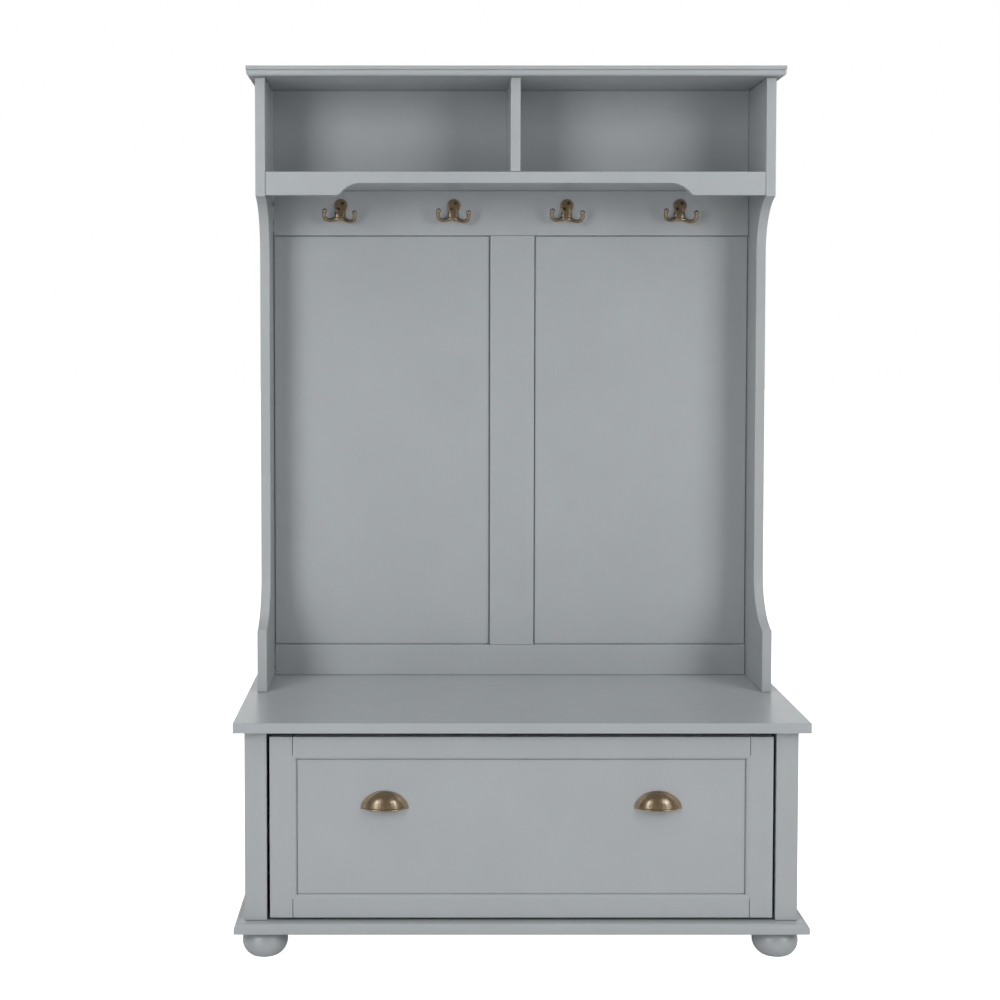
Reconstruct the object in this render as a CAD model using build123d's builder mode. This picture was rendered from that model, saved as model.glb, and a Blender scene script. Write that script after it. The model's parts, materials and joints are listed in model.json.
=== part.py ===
from math import cos, radians, sin
import os

from build123d import *

os.makedirs("parts", exist_ok=True)

# Hall tree: a drawer base on bun feet, a bench top, and a panelled back with coat hooks under
# a shelf with two cubbies. X is to the right, the front faces -Y, Z is up. Millimetres.
# The origin is on the floor, under the middle of the whole piece.

# Overall sizes
width = 1000.0
depth = 400.0
height = 1583.0
board = 18.0
front = -depth / 2
back = depth / 2

# Base
foot_height = 48.0
foot_radius = 40.0
foot_flat_radius = 27.0
foot_neck_radius = 31.0
foot_inset = 50.0
plinth_top = foot_height + board
bench_top_height = 418.5
bench_underside = bench_top_height - board
overhang = 18.0
edge_round = 9.0
base_front = front + 18.5
post = 38.5
carcass_half = width / 2 - overhang
post_inner = carcass_half - post
inside_half = carcass_half - board

# Drawer
drawer_gap = 5.2
drawer_half = post_inner - drawer_gap
drawer_bottom = plinth_top + 5.5
drawer_top = 390.0
frame_thickness = 20.0
frame_back = base_front + frame_thickness
stile_flat = 39.5
top_rail_flat = 32.5
bottom_rail_flat = 32.5
bead_width = 7.5
bead_depth = 4.0
panel_recess = 5.0
panel_tongue = 6.0
panel_front = base_front + panel_recess
box_half = 430.5
box_board = 12.0
box_back = 170.0
box_bottom = 90.0
box_top = 330.0
box_floor = 5.0
slide_length = 300.0
slide_front = frame_back + 21.5
slide_height = 210.0

# Upper unit
deep_front = 33.0
waist_front = 111.5
curve_radius = 99.2
foot_corner = 535.0
top_corner = 1345.0
cornice_underside = 1564.5
cornice_overhang = 15.5
shelf_top = 1390.5
shelf_underside = 1369.5
apron_low = 1347.2
apron_flat_half = 287.0
apron_radius = 48.0
hook_rail_bottom = 1282.7
bottom_rail_top = 478.5
thin_panel = 6.0
thin_panel_inset = 5.0
frame_front = back - board
back_stile_left = -40.0
back_stile_right = 46.0
back_panel_front = frame_front + thin_panel_inset
cubby_back_front = back - 12.0

# Hardware
hook_pitch = 220.3
hook_middle = -2.0
hook_height = 1328.6
hook_lean = 3.7
pull_spacing = 477.0
pull_bottom = 262.5
pull_hole_spacing = 32.0
dowel_radius = 4.0
dowel_length = 30.0

sides = {"left": -1, "right": 1}


def finish(builder, name):
    builder.part.label = name
    export_step(builder.part, f"parts/{name}.step")


def block(low, high, mode=Mode.ADD):
    size = [b - a for a, b in zip(low, high)]
    with Locations(tuple((a + b) / 2 for a, b in zip(low, high))):
        Box(*size, mode=mode)


def mirrored_block(side, low, high, mode=Mode.ADD):
    """A block given for the right-hand side, made on either side."""
    x_low, x_high = sorted((side * low[0], side * high[0]))
    block((x_low, low[1], low[2]), (x_high, high[1], high[2]), mode)


# ---------------------------------------------------------------- fasteners
# Each fastener is made first, so that the boards it joins can be cut to fit it.

def countersunk_screw(shank_radius, head_radius, length):
    """A screw along +Z with its flat head at the origin."""
    head = head_radius - shank_radius
    with BuildPart() as screw:
        with BuildSketch(Plane.XZ):
            with BuildLine():
                Polyline((0, 0), (head_radius, 0), (shank_radius, head), (shank_radius, length - 4),
                         (0, length), (0, 0))
            make_face()
        revolve(axis=Axis.Z)
    return screw.part


def group(pieces, placements):
    """Copies of one fastener, each a separate solid."""
    with BuildPart() as fasteners:
        for placement in placements:
            add(placement * pieces)
    return fasteners


foot_spots = [(sx * (width / 2 - foot_inset), sy * (depth / 2 - foot_inset))
              for sy in (-1, 1) for sx in (-1, 1)]
with BuildPart() as foot_bolts:
    for x, y in foot_spots:
        with Locations((x, y, plinth_top - 4 - 23)):
            Cylinder(4, 46)
finish(foot_bolts, "foot_bolts")

base_screws = group(
    countersunk_screw(2.2, 4.6, 45),
    [Pos(sx * x, y, foot_height)
     for sx in (-1, 1)
     for x, y in ((carcass_half - post / 2, base_front + post / 2), (carcass_half - board / 2, -60),
                  (carcass_half - board / 2, 90))])
finish(base_screws, "base_screws")

stretcher_depth = 60.0
stretcher_front_y = base_front + post + 2
stretcher_back_y = 120.0
bench_screws = group(
    countersunk_screw(2.2, 4.6, 29),
    [Pos(x, y + stretcher_depth / 2, bench_underside - board)
     for x in (-300, 300) for y in (stretcher_front_y, stretcher_back_y)])
finish(bench_screws, "bench_screws")

side_screws = group(
    countersunk_screw(3.0, 5.5, 50),
    [Pos(sx * (carcass_half - board / 2), y, bench_underside) for sx in (-1, 1) for y in (70, 165)])
finish(side_screws, "side_screws")

across = [Pos(sx * inside_half, y, z) * Rot(0, 90, 0)
          for sx in (-1, 1)
          for y, z in ((90, (shelf_top + shelf_underside) / 2), (160, (shelf_top + shelf_underside) / 2),
                       (frame_front + board / 2, hook_rail_bottom + 25),
                       (frame_front + board / 2, shelf_underside - 25),
                       (frame_front + board / 2, bench_top_height + 14),
                       (frame_front + board / 2, bottom_rail_top - 14))]
upright = [Pos(x, y, cornice_underside - 4) for x in (-inside_half - board / 2, 0, inside_half + board / 2)
           for y in (70, 150)]
with BuildPart() as dowels:
    for placement in across + upright:
        add(placement * Cylinder(dowel_radius, dowel_length, mode=Mode.PRIVATE))
finish(dowels, "dowels")

hook_centres = [hook_middle + (i - 1.5) * hook_pitch for i in range(4)]
hook_plate = 3.5
hook_screw_spots = ((4.0, 16.0), (-3.9, 5.0))
hook_screws = group(
    countersunk_screw(1.7, 3.3, 16),
    [Pos(x + dx, frame_front - hook_plate, hook_height + dz) * Rot(-90, 0, 0)
     for x in hook_centres for dx, dz in hook_screw_spots])
finish(hook_screws, "hook_screws")

drawer_screws = group(
    countersunk_screw(2.0, 4.2, 36),
    [Pos(sx * box_half, y, z) * Rot(0, -sx * 90, 0)
     for sx in (-1, 1) for y in (frame_back + box_board / 2, box_back - box_board / 2) for z in (140, 290)])
finish(drawer_screws, "drawer_screws")

front_screws = group(
    countersunk_screw(2.0, 4.2, 24),
    [Pos(x, frame_back + box_board, z) * Rot(90, 0, 0) for x in (-408, 408) for z in (120, 215, 310)])
finish(front_screws, "front_screws")

pull_centres = {"left": -pull_spacing / 2, "right": pull_spacing / 2}
pull_screw_height = pull_bottom + 13
pull_screw_tip = panel_front - 9
pull_screw_back = frame_back + box_board
with BuildPart() as pull_screws:
    for x in pull_centres.values():
        for dx in (-pull_hole_spacing / 2, pull_hole_spacing / 2):
            with Locations(Location((x + dx, pull_screw_back, pull_screw_height), (90, 0, 0))):
                Cylinder(2, pull_screw_back - pull_screw_tip, align=(Align.CENTER, Align.CENTER, Align.MIN))
            with Locations(Location((x + dx, pull_screw_back, pull_screw_height), (-90, 0, 0))):
                Cylinder(4, 2.5, align=(Align.CENTER, Align.CENTER, Align.MIN))
finish(pull_screws, "pull_screws")

# ---------------------------------------------------------------- base
for (x, y), name in zip(foot_spots, ("front_left", "front_right", "back_left", "back_right")):
    with BuildPart() as bun_foot:
        with BuildSketch(Plane.XZ):
            with BuildLine():
                Line((0, 0), (foot_flat_radius, 0))
                ThreePointArc((foot_flat_radius, 0), (foot_radius, 24), (foot_neck_radius, 44))
                Line((foot_neck_radius, 44), (foot_neck_radius, foot_height))
                Line((foot_neck_radius, foot_height), (0, foot_height))
                Line((0, foot_height), (0, 0))
            make_face()
        revolve(axis=Axis.Z)
        bun_foot.part = Pos(x, y, 0) * bun_foot.part
        add(foot_bolts.part, mode=Mode.SUBTRACT)
    finish(bun_foot, f"foot_{name}")

with BuildPart() as plinth_board:
    block((-width / 2, front, foot_height), (width / 2, back, plinth_top))
    top_edges = plinth_board.faces().sort_by(Axis.Z)[-1].edges()
    fillet(top_edges.sort_by(Axis.Y)[:-1], edge_round)
    add(foot_bolts.part, mode=Mode.SUBTRACT)
    add(base_screws.part, mode=Mode.SUBTRACT)
finish(plinth_board, "plinth_board")

for side_name, side in sides.items():
    with BuildPart() as base_post:
        mirrored_block(side, (post_inner, base_front, plinth_top),
                       (carcass_half, base_front + post, bench_underside))
        fillet(base_post.faces().sort_by(Axis.Y)[0].edges().filter_by(Axis.Z), 1.2)
        add(base_screws.part, mode=Mode.SUBTRACT)
    finish(base_post, f"base_post_{side_name}")

    with BuildPart() as base_side:
        mirrored_block(side, (inside_half, base_front + post, plinth_top),
                       (carcass_half, back, bench_underside))
        add(base_screws.part, mode=Mode.SUBTRACT)
    finish(base_side, f"base_side_{side_name}")

    with BuildPart() as slide_batten:
        mirrored_block(side, (post_inner, base_front + post, slide_height - 30),
                       (inside_half, slide_front + slide_length, slide_height + 30))
    finish(slide_batten, f"slide_batten_{side_name}")

with BuildPart() as base_back:
    block((-inside_half, back - thin_panel_inset - thin_panel, plinth_top),
          (inside_half, back - thin_panel_inset, bench_underside))
finish(base_back, "base_back_panel")

for name, y in (("front", stretcher_front_y), ("back", stretcher_back_y)):
    with BuildPart() as stretcher:
        block((-inside_half, y, bench_underside - board),
              (inside_half, y + stretcher_depth, bench_underside))
        add(bench_screws.part, mode=Mode.SUBTRACT)
    finish(stretcher, f"bench_stretcher_{name}")

with BuildPart() as bench_top:
    block((-width / 2, front, bench_underside), (width / 2, back, bench_top_height))
    fillet(bench_top.faces().sort_by(Axis.Z)[-1].edges().sort_by(Axis.Y)[:-1], 2.5)
    fillet(bench_top.faces().sort_by(Axis.Z)[0].edges().sort_by(Axis.Y)[:-1], 1.5)
    add(side_screws.part, mode=Mode.SUBTRACT)
    add(bench_screws.part, mode=Mode.SUBTRACT)
finish(bench_top, "bench_top")


# ---------------------------------------------------------------- upper unit
# The side board, seen from the side: a deep foot, a narrow waist and a deep top
setback = waist_front - deep_front
curve_rise = (curve_radius ** 2 - (curve_radius - setback) ** 2) ** 0.5
curve_centre = waist_front - curve_radius
curve_middle = curve_radius / 2 ** 0.5
waist_low, waist_high = foot_corner + curve_rise, top_corner - curve_rise

for side_name, side in sides.items():
    face_x = carcass_half if side > 0 else -inside_half
    with BuildPart() as upper_side:
        with BuildSketch(Plane.YZ.offset(face_x)):
            with BuildLine():
                Polyline((waist_front, waist_low), (waist_front, waist_high))
                ThreePointArc((waist_front, waist_high),
                              (curve_centre + curve_middle, waist_high + curve_middle),
                              (deep_front, top_corner))
                Polyline((deep_front, top_corner), (deep_front, cornice_underside),
                         (back, cornice_underside), (back, bench_top_height),
                         (deep_front, bench_top_height), (deep_front, foot_corner))
                ThreePointArc((deep_front, foot_corner),
                              (curve_centre + curve_middle, waist_low - curve_middle),
                              (waist_front, waist_low))
            make_face()
        extrude(amount=-board)
        add(dowels.part, mode=Mode.SUBTRACT)
        add(side_screws.part, mode=Mode.SUBTRACT)
    finish(upper_side, f"upper_side_{side_name}")

with BuildPart() as shelf:
    block((-inside_half, deep_front + board, shelf_underside), (inside_half, back, shelf_top))
    add(dowels.part, mode=Mode.SUBTRACT)
finish(shelf, "shelf")

with BuildPart() as apron:
    with BuildSketch(Plane.XZ.offset(-deep_front)) as apron_face:
        drop = shelf_underside - apron_low
        reach = (apron_radius ** 2 - (apron_radius - drop) ** 2) ** 0.5
        low_half = apron_flat_half + reach
        middle_x = apron_flat_half + apron_radius * sin(radians(25))
        middle_z = shelf_underside - apron_radius * (1 - cos(radians(25)))
        with BuildLine():
            Line((-apron_flat_half, shelf_underside), (apron_flat_half, shelf_underside))
            ThreePointArc((apron_flat_half, shelf_underside), (middle_x, middle_z), (low_half, apron_low))
            Polyline((low_half, apron_low), (inside_half, apron_low), (inside_half, shelf_top),
                     (-inside_half, shelf_top), (-inside_half, apron_low), (-low_half, apron_low))
            ThreePointArc((-low_half, apron_low), (-middle_x, middle_z), (-apron_flat_half, shelf_underside))
        make_face()
        corners = [v for v in apron_face.vertices() if abs(abs(v.X) - low_half) < 0.01]
        fillet(corners, 8)
    extrude(amount=-board)
finish(apron, "apron")

with BuildPart() as divider:
    block((-board / 2, deep_front, shelf_top), (board / 2, cubby_back_front, cornice_underside))
    add(dowels.part, mode=Mode.SUBTRACT)
finish(divider, "cubby_divider")

with BuildPart() as cubby_back:
    block((-inside_half, cubby_back_front, shelf_top), (inside_half, back, cornice_underside))
finish(cubby_back, "cubby_back_panel")

panel_boxes = []
panel_groove = 8.0
for side_name, x_low, x_high in (("left", -inside_half, back_stile_left + panel_groove),
                                 ("right", back_stile_right - panel_groove, inside_half)):
    low = (x_low, back_panel_front, bottom_rail_top - panel_groove)
    high = (x_high, back_panel_front + thin_panel, hook_rail_bottom + panel_groove)
    panel_boxes.append((low, high))
    with BuildPart() as back_panel:
        block(low, high)
    finish(back_panel, f"back_panel_{side_name}")

frame_members = {
    "hook_rail": ((-inside_half, frame_front, hook_rail_bottom), (inside_half, back, shelf_underside)),
    "bottom_rail": ((-inside_half, frame_front, bench_top_height), (inside_half, back, bottom_rail_top)),
    "centre_stile": ((back_stile_left, frame_front, bottom_rail_top),
                     (back_stile_right, back, hook_rail_bottom)),
}
for name, (low, high) in frame_members.items():
    with BuildPart() as member:
        block(low, high)
        for panel_low, panel_high in panel_boxes:
            block(panel_low, panel_high, Mode.SUBTRACT)
        add(dowels.part, mode=Mode.SUBTRACT)
        add(hook_screws.part, mode=Mode.SUBTRACT)
    finish(member, name)

cornice_half = carcass_half + cornice_overhang
cornice_front = deep_front - cornice_overhang
with BuildPart() as top_board:
    # a square fascia over a quirk, then a quarter round coming in to the carcass
    fascia, quirk, quirk_depth = 5.5, 1.5, 3.0
    block((-cornice_half, cornice_front, height - fascia), (cornice_half, back, height))
    block((-cornice_half + quirk_depth, cornice_front + quirk_depth, height - fascia - quirk),
          (cornice_half - quirk_depth, back, height - fascia))
    block((-cornice_half + quirk_depth - 1, cornice_front + quirk_depth - 1, cornice_underside),
          (cornice_half - quirk_depth + 1, back, height - fascia - quirk))
    ovolo_edges = top_board.faces().sort_by(Axis.Z)[0].edges().sort_by(Axis.Y)[:-1]
    fillet(ovolo_edges, cornice_overhang - 5)
    add(dowels.part, mode=Mode.SUBTRACT)
finish(top_board, "top_board")

# ---------------------------------------------------------------- coat hooks
# All four hooks lean a little to the right at the top.
prong_radius = 3.7
prong_path = ((4, -3.4, -12.5), (12, -12, -16.5), (21.5, -20, -16), (28, -24, -8.5), (29.5, -25, -1.8))
for number, x in enumerate(hook_centres, start=1):
    with BuildPart() as coat_hook:
        with BuildSketch(Plane((0, 0, 0), x_dir=(1, 0, 0), z_dir=(0, -1, 0))):
            with Locations((0, 11.6)):
                Circle(13)
            with Locations((0, -7.4)):
                Circle(8.9)
            make_hull()
        extrude(amount=hook_plate)
        with BuildLine() as prong_line:
            Spline(*prong_path)
        with BuildSketch(Plane(prong_line.line @ 0, z_dir=prong_line.line % 0)):
            Circle(prong_radius)
        sweep(path=prong_line.line)
        with Locations(prong_path[-1]):
            Sphere(4.9)
        mirror(about=Plane.YZ)
        coat_hook.part = Pos(x, frame_front, hook_height) * Rot(0, hook_lean, 0) * coat_hook.part
        add(hook_screws.part, mode=Mode.SUBTRACT)
    finish(coat_hook, f"coat_hook_{number}")

# ---------------------------------------------------------------- drawer
stile_width = stile_flat + bead_width
opening_half = drawer_half - stile_width
opening_low = drawer_bottom + bottom_rail_flat + bead_width
opening_high = drawer_top - top_rail_flat - bead_width
panel_low = (-opening_half - panel_tongue, panel_front, opening_low - panel_tongue)
panel_high = (opening_half + panel_tongue, panel_front + thin_panel, opening_high + panel_tongue)

with BuildPart() as drawer_panel:
    block(panel_low, panel_high)
    add(pull_screws.part, mode=Mode.SUBTRACT)
finish(drawer_panel, "drawer_panel")


def frame_piece(outline, inner_edge_picker, name):
    """One member of the drawer frame, its bead mitred into its neighbours."""
    with BuildPart() as frame:
        with BuildSketch(Plane((0, base_front, 0), x_dir=(1, 0, 0), z_dir=(0, -1, 0))):
            with BuildLine():
                Polyline(*outline, close=True)
            make_face()
        extrude(amount=-frame_thickness)
        front_face = frame.faces().sort_by(Axis.Y)[0]
        chamfer(inner_edge_picker(front_face), bead_width, bead_depth, reference=front_face)
        block(panel_low, panel_high, Mode.SUBTRACT)
        add(front_screws.part, mode=Mode.SUBTRACT)
    finish(frame, name)


for side_name, side in sides.items():
    flat_x, bead_x = drawer_half - stile_flat, opening_half
    stile_outline = [(side * x, z) for x, z in (
        (drawer_half, drawer_bottom), (flat_x, drawer_bottom),
        (flat_x, drawer_bottom + bottom_rail_flat), (bead_x, opening_low), (bead_x, opening_high),
        (flat_x, drawer_top - top_rail_flat), (flat_x, drawer_top), (drawer_half, drawer_top))]
    frame_piece(stile_outline,
                lambda face, side=side: face.edges().filter_by(Axis.Z).sort_by(Axis.X)[0 if side > 0 else -1],
                f"drawer_stile_{side_name}")

for rail_name, edge_z, flat_z, bead_z in (
        ("top", drawer_top, drawer_top - top_rail_flat, opening_high),
        ("bottom", drawer_bottom, drawer_bottom + bottom_rail_flat, opening_low)):
    flat_x = drawer_half - stile_flat
    rail_outline = [(-flat_x, edge_z), (flat_x, edge_z), (flat_x, flat_z), (opening_half, bead_z),
                    (-opening_half, bead_z), (-flat_x, flat_z)]
    frame_piece(rail_outline,
                lambda face, z=bead_z: face.edges().filter_by(Axis.X).sort_by(
                    lambda e: abs(e.center().Z - z))[0],
                f"drawer_rail_{rail_name}")

box_inner = box_half - box_board
floor_low = (-box_inner - 5, frame_back, box_bottom + 7)
floor_high = (box_inner + 5, box_back, box_bottom + 7 + box_floor)
with BuildPart() as drawer_bottom_board:
    block(floor_low, floor_high)
finish(drawer_bottom_board, "drawer_bottom")

for side_name, side in sides.items():
    with BuildPart() as drawer_side:
        mirrored_block(side, (box_inner, frame_back, box_bottom), (box_half, box_back, box_top))
        block(floor_low, floor_high, Mode.SUBTRACT)
        add(drawer_screws.part, mode=Mode.SUBTRACT)
    finish(drawer_side, f"drawer_side_{side_name}")

for name, y in (("drawer_box_front", frame_back), ("drawer_back", box_back - box_board)):
    with BuildPart() as drawer_end:
        block((-box_inner, y, floor_high[2]), (box_inner, y + box_board, box_top))
        for fasteners in (drawer_screws, front_screws, pull_screws):
            add(fasteners.part, mode=Mode.SUBTRACT)
    finish(drawer_end, name)

# Cup pulls: a dome open below, on a thin flange whose ends stand out as ears
dome_half, dome_reach, dome_rise, dome_wall = 35.5, 22.0, 31.0, 2.0
flange_half, flange_rise, flange_thickness = 42.0, 32.0, 2.0
for side_name, x in pull_centres.items():
    wall = Plane((x, panel_front, pull_bottom), x_dir=(1, 0, 0), z_dir=(0, -1, 0))
    outer_dome = scale(Sphere(1, mode=Mode.PRIVATE), by=(dome_half, dome_reach, dome_rise))
    inner_dome = scale(Sphere(1, mode=Mode.PRIVATE), by=(
        dome_half - dome_wall, dome_reach - dome_wall, dome_rise - dome_wall))
    with BuildPart() as pull:
        add(Pos(x, panel_front, pull_bottom) * outer_dome)
        with BuildSketch(wall):
            Ellipse(flange_half, flange_rise)
        extrude(amount=flange_thickness)
        add(Pos(x, panel_front, pull_bottom) * inner_dome, mode=Mode.SUBTRACT)
        block((x - 60, panel_front - 30, pull_bottom - 60), (x + 60, panel_front + 30, pull_bottom),
              Mode.SUBTRACT)
        block((x - 60, panel_front, pull_bottom - 1), (x + 60, panel_front + 30, pull_bottom + 60),
              Mode.SUBTRACT)
        with BuildSketch(wall):
            with Locations((-pull_hole_spacing / 2, 13), (pull_hole_spacing / 2, 13)):
                Circle(4)
        extrude(amount=13)
        add(pull_screws.part, mode=Mode.SUBTRACT)
    finish(pull, f"pull_{side_name}")


# ---------------------------------------------------------------- drawer slides
def channel(side, web_x, lip_x, half_height, thickness, name):
    """A channel along Y whose web is at web_x and whose lips reach to lip_x."""
    inward = 1 if lip_x > web_x else -1
    y_low, y_high = slide_front, slide_front + slide_length
    with BuildPart() as member:
        mirrored_block(side, (min(web_x, lip_x), y_low, slide_height - half_height),
                       (max(web_x, lip_x), y_high, slide_height + half_height))
        hollow = sorted((web_x + inward * thickness, lip_x + inward))
        mirrored_block(side, (hollow[0], y_low - 1, slide_height - half_height + thickness),
                       (hollow[1], y_high + 1, slide_height + half_height - thickness), Mode.SUBTRACT)
    finish(member, name)


for side_name, side in sides.items():
    channel(side, post_inner, post_inner - 10, 22.5, 1.3, f"slide_outer_{side_name}")
    channel(side, post_inner - 2.3, post_inner - 10, 18.0, 1.2, f"slide_middle_{side_name}")
    channel(side, box_half, post_inner - 4.3, 14.0, 1.3, f"slide_inner_{side_name}")
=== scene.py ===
import json
import math

import bmesh
import bpy
from mathutils import Matrix, Vector

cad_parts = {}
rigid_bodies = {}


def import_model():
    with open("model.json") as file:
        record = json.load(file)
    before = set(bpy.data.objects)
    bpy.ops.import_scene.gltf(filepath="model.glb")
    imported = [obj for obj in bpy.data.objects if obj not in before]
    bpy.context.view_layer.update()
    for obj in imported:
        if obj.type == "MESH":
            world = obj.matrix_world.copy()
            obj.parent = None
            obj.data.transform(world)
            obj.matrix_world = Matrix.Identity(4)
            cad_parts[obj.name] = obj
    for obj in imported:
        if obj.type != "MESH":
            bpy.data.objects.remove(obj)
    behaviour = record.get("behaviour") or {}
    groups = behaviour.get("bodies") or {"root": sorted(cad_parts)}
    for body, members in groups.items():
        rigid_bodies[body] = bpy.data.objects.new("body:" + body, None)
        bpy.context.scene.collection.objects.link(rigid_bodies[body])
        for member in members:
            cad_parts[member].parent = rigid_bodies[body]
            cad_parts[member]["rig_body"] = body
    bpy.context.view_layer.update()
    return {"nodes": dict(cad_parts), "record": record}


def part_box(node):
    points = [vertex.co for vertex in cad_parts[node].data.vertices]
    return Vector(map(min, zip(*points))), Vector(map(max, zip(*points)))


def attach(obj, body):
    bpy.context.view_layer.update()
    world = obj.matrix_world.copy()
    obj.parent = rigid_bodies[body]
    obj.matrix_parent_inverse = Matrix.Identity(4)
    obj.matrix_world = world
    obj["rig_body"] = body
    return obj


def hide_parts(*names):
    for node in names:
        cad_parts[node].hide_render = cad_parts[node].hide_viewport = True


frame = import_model()
scene = bpy.context.scene
mm = 0.001
slotOf = {part["node"]: part["material_slot"] for part in frame["record"]["subparts"]}


# sRGB hex to the linear colour that a shader takes
def linearColour(hexColour):
    channels = [int(hexColour[i:i + 2], 16) / 255 for i in (1, 3, 5)]
    return [c / 12.92 if c <= 0.04045 else ((c + 0.055) / 1.055) ** 2.4 for c in channels] + [1]


# adds a node and gives back one of its outputs; an input takes a number, a colour or another node's output
def addNode(tree, kind, inputs, output=0, **settings):
    node = tree.nodes.new(kind)
    for name, value in settings.items():
        setattr(node, name, value)
    for name, value in inputs.items():
        if isinstance(value, bpy.types.NodeSocket):
            tree.links.new(value, node.inputs[name])
        else:
            node.inputs[name].default_value = value
    return node.outputs[output] if node.outputs else None


def newMaterial(name):
    material = bpy.data.materials.new(name)
    material.use_nodes = True
    material.node_tree.nodes.clear()
    return material, material.node_tree


# most of a noise lies between these two values, so they are what a pattern is stretched from
noiseRange = {"From Min": 0.3, "From Max": 0.7}


# Sprayed satin lacquer on medium-density board: an even coat with a faint orange peel,
# a soft sheen, and a slight drift in tone and gloss from one area to the next.
def satinLacquer(name, light, dark, roughLow, roughHigh, peelDepth):
    sizes = {"drift": 160 * mm, "mottle": 36 * mm, "peel": 2.6 * mm}  # area to area, gloss, orange peel
    material, tree = newMaterial(name)
    coords = addNode(tree, "ShaderNodeTexCoord", {}, "Object")
    drift = addNode(tree, "ShaderNodeTexNoise", {"Vector": coords, "Scale": 1 / sizes["drift"], "Detail": 3})
    mottle = addNode(tree, "ShaderNodeTexNoise", {
        "Vector": coords, "Scale": 1 / sizes["mottle"], "Detail": 2})
    peel = addNode(tree, "ShaderNodeTexNoise", {"Vector": coords, "Scale": 1 / sizes["peel"], "Detail": 1})
    wide = addNode(tree, "ShaderNodeMapRange", {"Value": drift, "To Max": 0.75, **noiseRange})
    near = addNode(tree, "ShaderNodeMapRange", {"Value": mottle, "To Max": 0.25, **noiseRange})
    tone = addNode(tree, "ShaderNodeMath", {0: wide, 1: near}, operation="ADD")
    colour = addNode(tree, "ShaderNodeMix", {0: tone, 6: linearColour(dark), 7: linearColour(light)}, 2,
                     data_type="RGBA")
    roughness = addNode(tree, "ShaderNodeMapRange", {
        "Value": mottle, "To Min": roughLow, "To Max": roughHigh, **noiseRange})
    bump = addNode(tree, "ShaderNodeBump", {"Height": peel, "Strength": 0.5, "Distance": peelDepth})
    surface = addNode(tree, "ShaderNodeBsdfPrincipled", {
        "Base Color": colour, "Roughness": roughness, "IOR": 1.5, "Normal": bump})
    addNode(tree, "ShaderNodeOutputMaterial", {"Surface": surface})
    return material


# Cast brass, darkened and then rubbed back: brown in the hollows, warm and bright where a hand rubs,
# under a thin clear lacquer that keeps the shine.
def antiqueBrass():
    sizes = {"clouds": 7 * mm, "specks": 0.9 * mm}  # patches of patina; the skin of a sand casting
    material, tree = newMaterial("antiquedCastBrass")
    coords = addNode(tree, "ShaderNodeTexCoord", {}, "Object")
    clouds = addNode(tree, "ShaderNodeTexNoise", {
        "Vector": coords, "Scale": 1 / sizes["clouds"], "Detail": 4, "Roughness": 0.6})
    specks = addNode(tree, "ShaderNodeTexNoise", {
        "Vector": coords, "Scale": 1 / sizes["specks"], "Detail": 2})
    corners = addNode(tree, "ShaderNodeNewGeometry", {}, "Pointiness")
    exposed = addNode(tree, "ShaderNodeMapRange", {"Value": corners, "From Min": 0.50, "From Max": 0.60})
    patina = addNode(tree, "ShaderNodeMapRange", {
        "Value": clouds, "To Min": -0.35, "To Max": 0.35, **noiseRange})
    rubbed = addNode(tree, "ShaderNodeMath", {0: exposed, 1: patina}, operation="ADD", use_clamp=True)
    colour = addNode(tree, "ShaderNodeMix", {
        0: rubbed, 6: linearColour("#716149"), 7: linearColour("#A48E6A")}, 2, data_type="RGBA")
    metallic = addNode(tree, "ShaderNodeMapRange", {"Value": rubbed, "To Min": 0.62, "To Max": 1})
    cloudy = addNode(tree, "ShaderNodeMapRange", {
        "Value": clouds, "To Min": 0.40, "To Max": 0.32, **noiseRange})
    grainy = addNode(tree, "ShaderNodeMapRange", {
        "Value": specks, "To Min": -0.04, "To Max": 0.05, **noiseRange})
    roughness = addNode(tree, "ShaderNodeMath", {0: cloudy, 1: grainy}, operation="ADD")
    bump = addNode(tree, "ShaderNodeBump", {"Height": specks, "Strength": 0.35, "Distance": 0.05 * mm})
    surface = addNode(tree, "ShaderNodeBsdfPrincipled", {
        "Base Color": colour, "Metallic": metallic, "Roughness": roughness, "Normal": bump,
        "Coat Weight": 0.8, "Coat Roughness": 0.22, "Coat IOR": 1.6})
    addNode(tree, "ShaderNodeOutputMaterial", {"Surface": surface})
    return material


# Turned or rolled steel with a plated skin: fine drawn lines along one axis and faint cloudiness.
def platedSteel(name, light, dark, roughness, lineSize, stretch):
    cloudSize = 9 * mm
    material, tree = newMaterial(name)
    coords = addNode(tree, "ShaderNodeTexCoord", {}, "Object")
    along = addNode(tree, "ShaderNodeMapping", {"Vector": coords, "Scale": stretch})
    lines = addNode(tree, "ShaderNodeTexNoise", {"Vector": along, "Scale": 1 / lineSize, "Detail": 2})
    clouds = addNode(tree, "ShaderNodeTexNoise", {"Vector": coords, "Scale": 1 / cloudSize, "Detail": 3})
    cloudy = addNode(tree, "ShaderNodeMapRange", {"Value": clouds, **noiseRange})
    colour = addNode(tree, "ShaderNodeMix", {0: cloudy, 6: linearColour(dark), 7: linearColour(light)}, 2,
                     data_type="RGBA")
    drawn = addNode(tree, "ShaderNodeMapRange", {
        "Value": lines, "To Min": roughness - 0.05, "To Max": roughness + 0.07, **noiseRange})
    bump = addNode(tree, "ShaderNodeBump", {"Height": lines, "Strength": 0.3, "Distance": 0.02 * mm})
    surface = addNode(tree, "ShaderNodeBsdfPrincipled", {
        "Base Color": colour, "Metallic": 1.0, "Roughness": drawn, "Normal": bump})
    addNode(tree, "ShaderNodeOutputMaterial", {"Surface": surface})
    return material


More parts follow.
